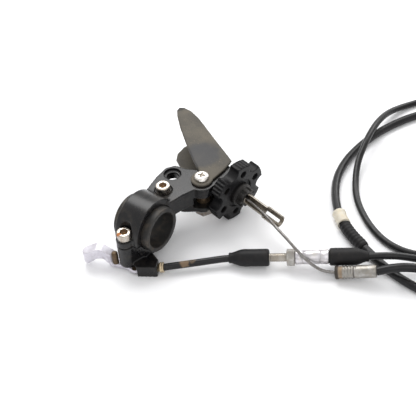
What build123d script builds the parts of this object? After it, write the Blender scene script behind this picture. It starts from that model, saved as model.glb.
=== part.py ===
"""Motocross clutch perch with quick adjuster, hot-start lever and both control cables.

Frame: origin at the centre of the handlebar bore, +X along the bar towards the middle of the
machine, +Y forwards from the bar, +Z up.  All sizes are in millimetres.
"""
from build123d import *
import os
from math import pi, radians, tan

os.makedirs("parts", exist_ok=True)

# ---------------------------------------------------------------- driving dimensions
BAR_D = 22.2                # handlebar tube
SLEEVE_WALL = 2.55          # collar between bar and clamp
SLEEVE_X = (-12.0, 13.0)    # collar ends along the bar
CLAMP_X = (-7.5, 8.5)       # clamp faces along the bar
CLAMP_WALL = 4.2
SPLIT_Z = -2.0              # plane where the clamp halves meet
SPLIT_GAP = 0.5
FLOOR_Z = -22.0             # surface the assembly lies on

REAR_SCREW = (0.0, -17.9)
FRONT_SCREW = (0.0, 19.7)
REAR_SEAT_Z = 2.5
LUG_R = 5.2
M5_R = 2.5
M5_HEAD_R = 4.25
M5_HEAD_H = 5.0
REAR_SCREW_L = 12.0
FRONT_SCREW_L = 18.0

ARM_TOP = 10.0
ARM_BOTTOM = -8.0
SLOT_Z = (-5.0, 3.0)        # gap that the lever turns in
SPOT_DEPTH = 1.0
PLATE_HOLE = (-3.9, 33.9)
PLATE_HOLE_R = 3.5
PLATE_BORE_R = 5.1
PLATE_BORE_DEPTH = 2.0

PIVOT = (14.5, 38.5)        # lever pivot
PIVOT_R = 3.0
EAR_R = 9.0
BUSH_WALL = 1.5
RUN_FIT = 0.1               # clearance beside a face that turns on another
TURN_FIT = 0.05             # radial clearance round a screw or bush that something turns on
BOOT_T = 1.8                # thickness of the dust boot's rubber
PAN_HEAD_R = 4.4
PAN_HEAD_H = 2.3
PIVOT_NUT_AF = 10.0
PIVOT_NUT_H = 4.4

WHEEL_C = (32.1, 51.4, -2.0)
ADJUST_DIR = (0.98, -0.179, -0.0945)
WHEEL_R = 19.9
WHEEL_BACK = -7.0           # wheel faces, measured along the adjuster axis
WHEEL_FRONT = 0.0
LOBES = 6
LOBE_HOLE_R = 2.3
LOBE_HOLE_PITCH = 14.0
NOTCH_R = 5.0
NOTCH_PITCH = 19.9
HUB_R = 7.2
HUB_STEP_R = 6.1
HUB_STEP = 2.2              # where the hub narrows
HUB_FRONT = 6.4
HUB_TEETH = 8
GRIP_GROOVES = 4
GRIP_GROOVE_R = 0.8
GRIP_GROOVE_STEP = 6.6      # degrees between grooves
RECESS_R = 9.6
RECESS_DEPTH = 1.2
WHEEL_GAP = 0.5             # clear space between the wheel and the casting

TUBE_R = 3.3
TUBE_BORE_R = 1.7
TUBE_INNER = -14.0
TUBE_OUTER = 32.7
CUP_START = 21.5
CUP_R = 4.1
CUP_BORE_R = 3.3
CUP_FLOOR = 22.3
CUP_OPEN_W = 6.8
RAIL_START = 7.0            # outward of here the tube is an open trough
RAIL_BORE_R = 2.65
RAIL_OPEN_W = 4.8
WINDOW = (20.4, 30.4)       # long slot through the trough's back
WINDOW_W = 2.0
SLOT_W = 2.2
TROUGH_SIDE = (-0.037, -0.619, 0.784)
THREAD_FIT = 0.06
BOSS_FIT = 0.2
BOSS_R = 8.5
BOSS_BACK = -16.5
BOSS_FRONT = WHEEL_BACK - WHEEL_GAP
DETENT_R = 1.25
DETENT_PITCH = 6.0

INNER_WIRE_R = 0.9
NIPPLE_AT = -26.5
NIPPLE_R = 3.0

HOT_PIVOT = (0.0, -15.5)    # hot-start lever pivot
HOT_LEVER_Z = (-20.4, -17.8)
HOT_SWING_R = 10.4          # clear radius round the lever's short arm
HOT_NIPPLE = (6.0, -19.3)
HOT_PEG = (-6.4, -21.9)
HOT_SEAT_START = (16.4, -13.1, -17.6)
HOT_SEAT_END = (20.3, -10.6, -17.1)

CLUTCH_R = 2.6              # cable housings
HOT_R = 2.1
CLUTCH_FLOOR = FLOOR_Z + CLUTCH_R
HOT_FLOOR = FLOOR_Z + HOT_R

BOOT_A_START = (48.3, 15.1, -16.8)
BOOT_B_END = (117.4, 55.0, -12.4)
BOOT_A_L = 23.4
ROD_L = 10.0
NUT_L = 4.6
BARREL_L = 19.6
RUBBER_R = 5.1
ROD_R = 2.5
BARREL_R = 4.2
CABLE_NUT_AF = 8.8

FERRULE_START = (105.5, 38.1, -17.2)
FERRULE_END = (126.3, 47.7, -12.9)
FERRULE_R = 3.9

CLUTCH_COIL = (204.0, 28.0)
CLUTCH_COIL_R = 28.6
CLUTCH_COIL_LAYERS = 3
HOT_COIL = (163.0, 128.0)
HOT_COIL_R = 23.0
HOT_COIL_LAYERS = 2

SLEEVE_R = BAR_D / 2 + SLEEVE_WALL
RING_R = SLEEVE_R + CLAMP_WALL
UPPER_Z = SPLIT_Z + SPLIT_GAP / 2
LOWER_Z = SPLIT_Z - SPLIT_GAP / 2
BOOT_TOP_Z = (ARM_TOP + RUN_FIT, ARM_TOP + RUN_FIT + BOOT_T)
BOOT_LOW_Z = (ARM_BOTTOM - RUN_FIT - BOOT_T, ARM_BOTTOM - RUN_FIT)

# ---------------------------------------------------------------- cable routes
# Points the free cables follow, chosen by hand.
WIRE_BEND = 9.0             # where the inner wire leaves the adjuster's axis
WIRE_ROUTE = [
    (54.3, 45.4, -4.3), (59.4, 42.7, -3.6), (65.5, 39.2, -3.3), (75.6, 35.1, -4.0), (83.8, 32.6, -7.0),
    (90.3, 32.6, -11.4), (95.4, 34.0, -15.4), (100.4, 36.0, -17.8),
]
HOT_UPPER_ROUTE = [HOT_SEAT_END, (29.6, -2.2, -17.0), (39.2, 7.0, -17.2), BOOT_A_START]
HOT_ROUTE = [
    BOOT_B_END, (124.5, 58.6, -11.2), (132.5, 63.6, -11.4), (144.0, 71.0, -15.0),
    (158.0, 79.5, HOT_FLOOR), (175.0, 90.0, HOT_FLOOR), (190.0, 105.0, HOT_FLOOR),
    (198.5, 126.0, HOT_FLOOR), (200.5, 148.0, -16.5), (201.5, 166.0, -10.4),
    (203.5, 182.0, -10.4), (202.5, 200.0, -16.0), (193.0, 219.0, HOT_FLOOR),
    (170.0, 234.0, HOT_FLOOR), (142.0, 239.0, HOT_FLOOR), (117.0, 238.0, HOT_FLOOR),
    (96.0, 230.0, HOT_FLOOR), (82.0, 218.0, HOT_FLOOR), (71.0, 203.0, HOT_FLOOR),
    (64.5, 187.0, -17.5), (65.0, 170.0, -12.6), (67.0, 154.5, -10.4),
    (69.5, 140.0, -10.8), (72.0, 126.0, -15.5), (78.0, 112.5, -19.2),
    (85.0, 101.0, HOT_FLOOR), (94.5, 91.0, HOT_FLOOR), (106.0, 82.0, HOT_FLOOR),
    (119.0, 76.0, HOT_FLOOR), (134.0, 75.5, HOT_FLOOR), (149.0, 83.0, HOT_FLOOR),
    (163.0, 95.0, HOT_FLOOR), (176.2, 109.2, HOT_FLOOR),
]
HOT_TAIL = [
    (174.5, 147.9, -15.7), (160.0, 157.5, -17.4), (147.0, 162.0, -19.0),
    (135.0, 165.5, -19.0),
]
CLUTCH_ROUTE = [
    FERRULE_END, (133.0, 52.4, -10.6), (143.0, 58.8, -10.2), (156.0, 66.0, -14.0),
    (171.0, 75.0, -19.0), (188.0, 87.5, CLUTCH_FLOOR), (203.0, 104.0, CLUTCH_FLOOR),
    (213.0, 124.0, CLUTCH_FLOOR), (215.0, 146.0, CLUTCH_FLOOR), (209.0, 168.0, CLUTCH_FLOOR),
    (197.0, 188.0, CLUTCH_FLOOR), (179.0, 204.0, CLUTCH_FLOOR), (158.0, 214.0, CLUTCH_FLOOR),
    (136.0, 219.0, CLUTCH_FLOOR), (113.0, 218.0, CLUTCH_FLOOR), (94.0, 209.0, CLUTCH_FLOOR),
    (81.0, 195.0, CLUTCH_FLOOR), (72.5, 179.0, CLUTCH_FLOOR), (66.5, 163.0, CLUTCH_FLOOR),
    (63.5, 146.0, CLUTCH_FLOOR), (62.5, 129.0, CLUTCH_FLOOR), (65.5, 111.0, CLUTCH_FLOOR),
    (73.5, 94.5, -19.0), (84.0, 80.5, -17.7), (96.5, 70.5, -17.7), (110.0, 64.5, -18.2), (124.0, 59.0, CLUTCH_FLOOR), (139.0, 54.5, CLUTCH_FLOOR),
    (155.0, 53.0, CLUTCH_FLOOR), (170.0, 54.0, CLUTCH_FLOOR), (184.0, 56.2, CLUTCH_FLOOR),
    (198.6, 56.6, CLUTCH_FLOOR),
]
CLUTCH_TAIL = [
    (232.6, 27.0, -9.0), (232.0, 12.0, -11.5), (230.0, -4.0, -17.6),
    (227.5, -18.0, -18.5), (225.0, -32.0, -18.5),
]
COLLAR_CORNER = 23          # corner of the clutch route where the collar sits
SLEEVE_CORNER = 24          # corner where the ribbed rubber sleeve sits


UP = (Align.CENTER, Align.CENTER, Align.MIN)


# ---------------------------------------------------------------- helpers
def save(name, shape):
    export_step(shape, f"parts/{name}.step")


def vec(point):
    return Vector(*point)


def axis_plane(start, direction):
    """Plane at start whose normal runs along direction and whose X is as upright as it can be."""
    normal = vec(direction).normalized()
    hint = Vector(1, 0, 0) if abs(normal.Z) > 0.9 else Vector(0, 0, 1)
    x_dir = (hint - normal * hint.dot(normal)).normalized()
    return Plane(origin=vec(start), x_dir=x_dir, z_dir=normal)


def rod(start, end, radius):
    """Round bar from start to end."""
    length = (vec(end) - vec(start)).length
    return axis_plane(start, vec(end) - vec(start)) * Cylinder(radius, length, align=UP)


def upright(center, radius, z_low, z_high):
    """Vertical round bar."""
    return rod((center[0], center[1], z_low), (center[0], center[1], z_high), radius)


def slab(outline, z_low, z_high):
    """Flat plate with a plan outline."""
    face = make_face(Polyline(*[(x, y, z_low) for x, y in outline], close=True))
    return extrude(face, z_high - z_low, dir=(0, 0, 1))


def smooth_slab(outline, z_low, z_high):
    """Flat plate whose outline is a closed smooth curve through the points."""
    face = make_face(Spline(*[(x, y, z_low) for x, y in outline], periodic=True))
    return extrude(face, z_high - z_low, dir=(0, 0, 1))


def x_cylinder(radius, x_low, x_high):
    return rod((x_low, 0, 0), (x_high, 0, 0), radius)


def hex_prism(start, end, across_flats):
    plane = axis_plane(start, vec(end) - vec(start))
    length = (vec(end) - vec(start)).length
    sketch = plane * RegularPolygon(across_flats / 2, 6, major_radius=False)
    return extrude(sketch, length, dir=plane.z_dir)


def along(distance):
    """Point on the adjuster axis."""
    return vec(WHEEL_C) + vec(ADJUST_DIR).normalized() * distance


def corner_radii(points, radius_share=0.45):
    radii = []
    for before, corner, after in zip(points, points[1:], points[2:]):
        run_in = vec(corner) - vec(before)
        run_out = vec(after) - vec(corner)
        turn = radians(run_in.get_angle(run_out))
        radii.append(radius_share * min(run_in.length, run_out.length) / tan(turn / 2))
    return radii


def cable_path(points):
    return FilletPolyline(*[vec(p) for p in points], radius=corner_radii(points))


def tube_along(points, radius, name=""):
    """Solid cable along straight runs joined by tangent arcs."""
    path = cable_path(points)
    start = Plane(origin=path @ 0, z_dir=path % 0)
    solid = sweep(start * Circle(radius), path=path)
    if name:
        least = min(corner_radii(points))
        share = solid.volume / (pi * radius ** 2 * path.length)
        print(f"{name}: length {path.length:.1f}, least radius {least:.1f}, volume share {share:.4f}")
    return solid


def spring(start, end, mean_r, wire_r, turns):
    """Closed-end coil spring."""
    direction = vec(end) - vec(start)
    length = direction.length - 2 * wire_r
    pitch = length / turns
    path = Helix(pitch=pitch, height=length, radius=mean_r)
    section = Plane(origin=path @ 0, z_dir=path % 0) * Circle(wire_r)
    coil = sweep(section, path=path, is_frenet=True)
    foot = vec(start) + direction.normalized() * wire_r
    return axis_plane(foot, direction) * coil


# ---------------------------------------------------------------- clamp and perch
def bar_sleeve():
    body = x_cylinder(SLEEVE_R, *SLEEVE_X) - x_cylinder(BAR_D / 2, *SLEEVE_X)
    rim = body.edges().filter_by(GeomType.CIRCLE)
    return chamfer(rim, 0.4)


def clamp_ring():
    return x_cylinder(RING_R, *CLAMP_X) - x_cylinder(SLEEVE_R, *CLAMP_X)


def rear_lug(z_low, z_high):
    x_low, x_high = CLAMP_X
    web = [(x_low, -8), (-LUG_R, REAR_SCREW[1]), (LUG_R, REAR_SCREW[1]), (x_high, -8)]
    lug = slab(web, z_low, z_high) + upright(REAR_SCREW, LUG_R, z_low, z_high)
    return lug - x_cylinder(SLEEVE_R, x_low - 1, x_high + 1)


ARM_OUTLINE = [
    (-7.5, 6.0), (-8.6, 14.0), (-9.6, 20.0), (-10.6, 27.0), (-10.8, 36.0), (-7.0, 41.0), (0.0, 41.8),
    (6.5, 44.5), (12.0, 47.5), (18.0, 58.0), (24.0, 57.0), (24.4, 46.0), (23.0, 38.0), (20.4, 34.6),
    (15.8, 30.6), (12.2, 22.0), (9.9, 13.5), (8.5, 6.0),
]
WEB_OUTLINE = [
    (-4.0, 24.8), (-4.0, 32.0), (3.0, 38.0), (7.0, 43.0), (12.0, 47.5), (18.0, 58.0), (24.0, 57.0),
    (24.4, 46.0), (23.0, 38.0), (20.4, 34.0), (15.8, 29.4), (8.8, 24.8),
]
LEVER_SLOT = [(-12.0, 31.5), (8.0, 29.8), (19.0, 34.0), (20.0, 44.0), (17.6, 62.0), (-12.0, 62.0)]


def rounded_vertical(solid, radius, x_min=-100.0):
    """Round the upright edges of a plate."""
    edges = [e for e in solid.edges().filter_by(Axis.Z) if e.center().X > x_min and e.center().Y > 12]
    return fillet(edges, radius)


def perch_body():
    """Upper clamp half, arm, lever ears and adjuster boss in one casting."""
    upper = clamp_ring() & Pos(0, 0, 50 + UPPER_Z) * Box(60, 60, 100)
    arm = rounded_vertical(slab(ARM_OUTLINE, UPPER_Z, ARM_TOP), 1.2)
    web = rounded_vertical(slab(WEB_OUTLINE, ARM_BOTTOM, UPPER_Z + 1), 1.2)
    ear = upright(PIVOT, EAR_R, ARM_BOTTOM, ARM_TOP)
    under_plate = slab([(-14, 25.2), (-3.6, 25.2), (-3.6, 33), (4, 45), (-14, 45)], UPPER_Z - 1, SLOT_Z[1])
    body = arm - under_plate + web + ear
    body -= slab(LEVER_SLOT, *SLOT_Z)
    body -= upright(PIVOT, EAR_R + 0.8, *SLOT_Z)
    body += upper + rear_lug(UPPER_Z, REAR_SEAT_Z)
    body += rod(along(BOSS_BACK), along(BOSS_FRONT), BOSS_R)
    body -= x_cylinder(SLEEVE_R, CLAMP_X[0] - 5, CLAMP_X[1] + 5)
    body -= upright(REAR_SCREW, M5_R + 0.25, -6, 20)
    body -= upright(REAR_SCREW, M5_HEAD_R + 0.4, REAR_SEAT_Z, 20)
    body -= upright(FRONT_SCREW, M5_R + 0.25, -6, 20)
    body -= upright(FRONT_SCREW, M5_HEAD_R + 1.1, ARM_TOP - SPOT_DEPTH, 20)
    body -= upright(PLATE_HOLE, PLATE_HOLE_R, -6, 20)
    body -= upright(PLATE_HOLE, PLATE_BORE_R, ARM_TOP - PLATE_BORE_DEPTH, 20)
    body -= upright(PIVOT, PIVOT_R + 0.05, ARM_BOTTOM - 1, 20)
    body -= rod(along(BOSS_BACK - 6), along(BOSS_FRONT + 1), TUBE_R + BOSS_FIT)
    body -= rod(along(BOSS_FRONT), along(BOSS_FRONT + 20), WHEEL_R + 1)
    body += tube_key()
    body -= rod(detent_point(BOSS_FRONT - 7.5), detent_point(BOSS_FRONT + 1), DETENT_R + 0.1)
    return body


def slot_direction():
    """Way the adjuster tube's slot faces: up and a little to the rear, square to the axis."""
    axis = vec(ADJUST_DIR).normalized()
    hint = Vector(0, -0.34, 0.94)
    return (hint - axis * hint.dot(axis)).normalized()


def adjuster_plane(distance):
    return Plane(origin=along(distance), x_dir=slot_direction(), z_dir=vec(ADJUST_DIR).normalized())


def trough_cut(start, end, width, reach, align):
    """Block that opens one side of the tube between two places on the axis."""
    axis = vec(ADJUST_DIR).normalized()
    hint = Vector(*TROUGH_SIDE)
    side = (hint - axis * hint.dot(axis)).normalized()
    block = Pos(reach / 2, 0, 0) * Box(abs(reach), width, end - start, align=align)
    return Plane(origin=along(start), x_dir=side, z_dir=axis) * block


def tube_key():
    """Rib in the boss that keeps the slotted tube from turning."""
    length = BOSS_FRONT - BOSS_BACK - 2
    key = Pos(TUBE_R - 0.1, 0, length / 2) * Box(1.2, SLOT_W - 0.5, length)
    return adjuster_plane(BOSS_BACK + 1) * key


def detent_point(distance):
    side = adjuster_plane(distance).y_dir
    return along(distance) - side * DETENT_PITCH


def lower_clamp():
    """Lower clamp half with the block and bracket that carry the hot-start lever."""
    lower = clamp_ring() & Pos(0, 0, LOWER_Z - 50) * Box(60, 60, 100)
    block_low = HOT_LEVER_Z[1] + 0.3
    body = lower + rear_lug(block_low, LOWER_Z)
    front = [(CLAMP_X[0], 8), (-LUG_R, FRONT_SCREW[1]), (LUG_R, FRONT_SCREW[1]), (CLAMP_X[1], 8)]
    lug = slab(front, -12, LOWER_Z) + upright(FRONT_SCREW, LUG_R - 0.5, -12, LOWER_Z)
    body += lug - x_cylinder(SLEEVE_R, -20, 20)
    bracket = [(3.0, -12.0), (5.4, -19.6), (9.0, -21.4), (18.9, -15.4), (15.9, -9.6), (8.4, -6.5)]
    body += slab(bracket, FLOOR_Z, -14.2) - x_cylinder(SLEEVE_R, -20, 20)
    body -= upright(HOT_PIVOT, HOT_SWING_R, FLOOR_Z - 1, block_low)
    body -= upright(REAR_SCREW, M5_R, REAR_SEAT_Z - REAR_SCREW_L - 0.5, 0)
    body -= upright(FRONT_SCREW, M5_R, ARM_TOP - SPOT_DEPTH - FRONT_SCREW_L - 0.5, 0)
    body -= upright(HOT_PIVOT, 3.95, FLOOR_Z, -14.6)
    body -= upright(HOT_PIVOT, 2.0, FLOOR_Z, -10.6)
    wire_from = vec(HOT_SEAT_START) - (vec(HOT_SEAT_END) - vec(HOT_SEAT_START)) * 3
    body -= rod(wire_from, HOT_SEAT_END, 1.2)
    return body - rod(HOT_SEAT_START, vec(HOT_SEAT_END) * 1.0, 2.3)


def socket_screw(center, seat_z, length):
    body = upright(center, M5_R, seat_z - length, seat_z) + upright(center, M5_HEAD_R, seat_z, seat_z + M5_HEAD_H)
    top = seat_z + M5_HEAD_H
    body = chamfer(body.edges().filter_by(GeomType.CIRCLE).sort_by(Axis.Z)[-1], 0.5)
    return body - hex_prism((*center, top - 2.8), (*center, top + 1), 4.2)


def clamp_screws():
    rear = socket_screw(REAR_SCREW, REAR_SEAT_Z, REAR_SCREW_L)
    front = socket_screw(FRONT_SCREW, ARM_TOP - SPOT_DEPTH, FRONT_SCREW_L)
    return Compound(children=[rear, front])


# ---------------------------------------------------------------- lever pivot and dust boot
def pivot_screw():
    seat = BOOT_TOP_Z[1] + RUN_FIT
    shank = upright(PIVOT, PIVOT_R, BOOT_LOW_Z[0] - RUN_FIT - PIVOT_NUT_H - 0.6, seat)
    head = upright(PIVOT, PAN_HEAD_R, seat, seat + PAN_HEAD_H)
    head = fillet(head.edges().filter_by(GeomType.CIRCLE).sort_by(Axis.Z)[-1], PAN_HEAD_H * 0.75)
    cross_z = seat + PAN_HEAD_H
    for angle in (20, 110):
        arm = Pos(PIVOT[0], PIVOT[1], cross_z) * Rot(0, 0, angle) * Box(4.6, 0.95, 2.6)
        head -= arm
    return shank + head


def pivot_nut():
    top = BOOT_LOW_Z[0] - RUN_FIT
    nut = hex_prism((*PIVOT, top - PIVOT_NUT_H), (*PIVOT, top), PIVOT_NUT_AF)
    return nut - upright(PIVOT, PIVOT_R, -30, 0)


def pivot_bush():
    outer = upright(PIVOT, PIVOT_R + BUSH_WALL, SLOT_Z[0] + 0.05, SLOT_Z[1] - 0.05)
    return outer - upright(PIVOT, PIVOT_R + 0.05, -30, 30)


BOOT_UPPER = [
    (9.6, 42.8), (1.1, 48.6), (-11.4, 58.6), (-23.9, 69.4), (-33.6, 79.0), (-37.0, 83.4), (-37.6, 86.6),
    (-34.6, 88.4), (-29.0, 88.0), (-20.5, 84.4), (0.0, 72.4), (21.0, 60.6), (21.6, 52.0), (20.6, 42.0),
]
BOOT_LOWER = [
    (8.6, 43.4), (-4.0, 50.5), (-17.0, 57.4), (-23.6, 61.8), (-26.6, 67.2), (-27.0, 75.0),
    (-23.0, 84.4), (-20.5, 83.4), (0.0, 72.4), (11.0, 66.2), (15.2, 56.0), (16.8, 45.0),
]
BOOT_WALL = [(12.0, 65.6), (0.0, 72.2), (-20.5, 83.2), (-23.4, 84.6)]


def dust_boot():
    """Rubber hood over the lever pivot: two flaps joined by a wall along the front."""
    tab_r = EAR_R - 2.4
    upper = slab(BOOT_UPPER, *BOOT_TOP_Z) + upright(PIVOT, tab_r, *BOOT_TOP_Z)
    lower = slab(BOOT_LOWER, *BOOT_LOW_Z) + upright(PIVOT, tab_r, *BOOT_LOW_Z)
    inner = [(x - 0.482 * BOOT_T, y - 0.876 * BOOT_T) for x, y in BOOT_WALL]
    wall = slab(BOOT_WALL + inner[::-1], BOOT_LOW_Z[0], BOOT_TOP_Z[1])
    boss_room = rod(along(BOSS_BACK - 4), along(BOSS_FRONT), BOSS_R + 1.2)
    wheel_room = rod(along(WHEEL_BACK - 1), along(WHEEL_FRONT), WHEEL_R + 1)
    hood = upper + lower + wall - boss_room - wheel_room
    return hood - upright(PIVOT, PIVOT_R + TURN_FIT, -30, 30)


# ---------------------------------------------------------------- quick adjuster
def adjuster_wheel():
    """Six-lobed hand wheel with grip grooves and a stepped, toothed hub."""
    depth = WHEEL_FRONT - WHEEL_BACK
    wheel = Pos(0, 0, depth / 2) * Cylinder(WHEEL_R, depth)
    wheel = chamfer(wheel.edges().filter_by(GeomType.CIRCLE), 0.6)
    step = 360 / LOBES
    for lobe in range(LOBES):
        angle = lobe * step
        notch = Pos(NOTCH_PITCH, 0, depth / 2) * Cylinder(NOTCH_R, depth + 2)
        wheel -= Rot(0, 0, angle) * notch
        hole = Pos(LOBE_HOLE_PITCH, 0, depth / 2) * Cylinder(LOBE_HOLE_R, depth + 2)
        wheel -= Rot(0, 0, angle + step / 2) * hole
        for groove in range(GRIP_GROOVES):
            turn = angle + step / 2 + (groove - (GRIP_GROOVES - 1) / 2) * GRIP_GROOVE_STEP
            cut = Pos(WHEEL_R + 0.2, 0, depth / 2) * Cylinder(GRIP_GROOVE_R, depth + 2)
            wheel -= Rot(0, 0, turn) * cut
    recess = Pos(0, 0, depth - RECESS_DEPTH / 2) * Cylinder(RECESS_R, RECESS_DEPTH)
    wheel = wheel - recess
    foot = depth - RECESS_DEPTH - 1
    wheel += Pos(0, 0, foot) * Cylinder(HUB_R, depth + HUB_STEP - foot, align=UP)
    wheel += Pos(0, 0, foot) * Cylinder(HUB_STEP_R, depth + HUB_FRONT - foot, align=UP)
    tooth_h = HUB_FRONT - HUB_STEP - 0.6
    for tooth in range(HUB_TEETH):
        gap = Pos(HUB_STEP_R, 0, depth + HUB_FRONT - tooth_h / 2 + 0.5) * Box(3.0, 2.2, tooth_h + 1)
        wheel -= Rot(0, 0, tooth * 360 / HUB_TEETH) * gap
    wheel -= Cylinder(TUBE_R + THREAD_FIT, 60)
    return adjuster_plane(WHEEL_BACK) * wheel


def adjuster_tube():
    """Slotted tube that the wheel screws in and out, with the cup that seats the housing."""
    body = rod(along(TUBE_INNER), along(TUBE_OUTER), TUBE_R)
    body += rod(along(CUP_START), along(TUBE_OUTER), CUP_R)
    body -= rod(along(TUBE_INNER - 1), along(TUBE_OUTER + 1), TUBE_BORE_R)
    body -= rod(along(CUP_FLOOR), along(TUBE_OUTER + 1), CUP_BORE_R)
    body -= rod(along(RAIL_START), along(TUBE_OUTER + 1), RAIL_BORE_R)
    length = TUBE_OUTER - TUBE_INNER + 2
    slot = Pos(5, 0, length / 2) * Box(10, SLOT_W, length)
    body -= adjuster_plane(TUBE_INNER - 1) * slot
    body -= trough_cut(RAIL_START, CUP_START, RAIL_OPEN_W, 10, UP)
    body -= trough_cut(CUP_START, TUBE_OUTER + 1, CUP_OPEN_W, 10, UP)
    return body - trough_cut(*WINDOW, WINDOW_W, -10, UP)


def detent_plunger():
    nose = rod(detent_point(BOSS_FRONT - 3.4), detent_point(BOSS_FRONT + 0.4), DETENT_R)
    return fillet(nose.edges().filter_by(GeomType.CIRCLE).sort_by(Axis.X)[-1], 0.9)


def detent_spring():
    return spring(detent_point(BOSS_FRONT - 7.3), detent_point(BOSS_FRONT - 3.5), 0.95, 0.2, 5)


# ---------------------------------------------------------------- hot-start lever
LEVER_ROOT = [
    (-9.9, -20.2), (-8.2, -18.6), (-3.2, -11.6), (2.6, -11.2), (4.9, -14.0), (8.2, -17.6), (8.4, -20.4),
    (6.2, -21.9), (0.0, -21.4), (-4.0, -22.8), (-8.0, -24.4), (-10.4, -24.0),
]
PADDLE_PLAN = [
    (-8.9, -18.9), (-13.0, -19.6), (-18.5, -21.2), (-23.0, -24.4), (-25.0, -27.4), (-24.0, -30.2),
    (-21.5, -31.0), (-17.0, -28.2), (-12.5, -25.6), (-8.6, -24.2),
]
PADDLE_SIDE = [
    (3.6, -20.4), (3.6, -14.4), (0.0, -11.6), (-3.0, -10.4), (-7.0, -8.5), (-10.0, -8.4), (-15.0, -10.2),
    (-19.0, -11.2), (-22.0, -12.6), (-22.4, -17.6), (-19.5, -19.4), (-15.5, -19.0), (-10.5, -15.8),
    (-6.0, -15.4), (-3.4, -17.6), (-1.0, -20.4),
]


def hot_start_lever():
    """Cast thumb lever: wavy paddle outside the clamp, flat root under the block."""
    root = slab(LEVER_ROOT, *HOT_LEVER_Z)
    root = fillet(root.edges().filter_by(Axis.Z), 0.9)
    paddle = smooth_slab(PADDLE_PLAN, HOT_LEVER_Z[0], -6)
    side = Plane(origin=(-8.0, -21.0, 0), x_dir=(0.877, 0.48, 0), z_dir=(0.48, -0.877, 0))
    profile = side * make_face(Polyline(*PADDLE_SIDE, close=True))
    shape = extrude(profile, 14, both=True)
    shape = fillet(shape.edges().filter_by(Axis((0, 0, 0), (0.48, -0.877, 0))), 0.8)
    body = root + (paddle & shape)
    body -= upright(HOT_PIVOT, 3.05, -30, 0)
    return body - upright(HOT_NIPPLE, 2.05, -30, -17)


def hot_pivot_screw():
    head = upright(HOT_PIVOT, 4.2, FLOOR_Z + 0.1, HOT_LEVER_Z[0] - 0.1)
    head -= hex_prism((*HOT_PIVOT, FLOOR_Z), (*HOT_PIVOT, FLOOR_Z + 1.1), 2.5)
    return head + upright(HOT_PIVOT, 2.0, HOT_LEVER_Z[0] - 0.1, -10.8)


def hot_pivot_bush():
    outer = upright(HOT_PIVOT, 3.0, HOT_LEVER_Z[0] - 0.05, HOT_LEVER_Z[1] + 0.25)
    return outer - upright(HOT_PIVOT, 2.0, -30, 0)


def hot_return_spring():
    """Torsion spring round the pivot, in the pocket above the lever."""
    return spring((*HOT_PIVOT, HOT_LEVER_Z[1] + 0.45), (*HOT_PIVOT, -14.75), 3.2, 0.35, 3)


def hot_peg():
    peg = upright(HOT_PEG, 1.9, HOT_LEVER_Z[1], -9.4)
    return fillet(peg.edges().filter_by(GeomType.CIRCLE).sort_by(Axis.Z)[-1], 1.2)


def hot_nipple():
    return upright(HOT_NIPPLE, 2.0, HOT_LEVER_Z[0] + 0.05, HOT_LEVER_Z[1] - 0.05)


def hot_cable_seat():
    """Stepped brass ferrule that holds the housing against the bracket."""
    start = vec(HOT_SEAT_START)
    end = vec(HOT_SEAT_END)
    middle = start + (end - start) * 0.55
    body = rod(start, end, 2.3) + rod(middle, end, 3.1)
    return body - rod(start - (end - start), end + (end - start), 0.8)


def hot_lever_wire():
    """Bare wire between the bracket's seat and the lever side of the bracket."""
    start = vec(HOT_SEAT_START)
    run = (start - vec(HOT_SEAT_END)).normalized()
    return rod(start + run * 6.0, vec(HOT_SEAT_END) - run * -0.2, 0.6)


# ---------------------------------------------------------------- hot-start cable
def inline_point(distance):
    run = (vec(BOOT_B_END) - vec(BOOT_A_START)).normalized()
    return vec(BOOT_A_START) + run * distance


def boot_profile(start, end, taper_at_start):
    """Rubber boot: straight body with a tapered, rolled nose on the cable side."""
    run = vec(end) - vec(start)
    taper = run * 0.3
    if taper_at_start:
        nose = (start, vec(start) + taper)
        body = rod(nose[1], end, RUBBER_R)
    else:
        nose = (vec(end), vec(end) - taper)
        body = rod(start, nose[1], RUBBER_R)
    cone = axis_plane(nose[0], vec(nose[1]) - vec(nose[0])) * Pos(0, 0, taper.length / 2) * Cone(
        HOT_R + 1.0, RUBBER_R, taper.length)
    return body + cone


def inline_adjuster():
    """Boot, threaded rod, lock nut, barrel and second boot, end to end on one axis."""
    stops = [0, BOOT_A_L, BOOT_A_L + ROD_L, BOOT_A_L + ROD_L + NUT_L, BOOT_A_L + ROD_L + NUT_L + BARREL_L]
    a, b, c, d, e = [inline_point(s) for s in stops]
    end = vec(BOOT_B_END)
    save("adjuster_boot_front", boot_profile(a, b, True))
    save("adjuster_rod", rod(b, c, ROD_R))
    save("adjuster_locknut", hex_prism(c, d, CABLE_NUT_AF))
    barrel = rod(d, e, BARREL_R)
    barrel = chamfer(barrel.edges().filter_by(GeomType.CIRCLE), 0.5)
    save("adjuster_barrel", barrel)
    save("adjuster_boot_rear", boot_profile(e, end, False))


def coil_solid(center, mean_r, cable_r, layers):
    """Outer shape of a neat coil lying on the surface."""
    height = 2 * cable_r * layers
    ring = upright(center, mean_r + cable_r, FLOOR_Z, FLOOR_Z + height)
    return ring - upright(center, mean_r - cable_r, FLOOR_Z - 1, FLOOR_Z + height + 1)


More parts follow.
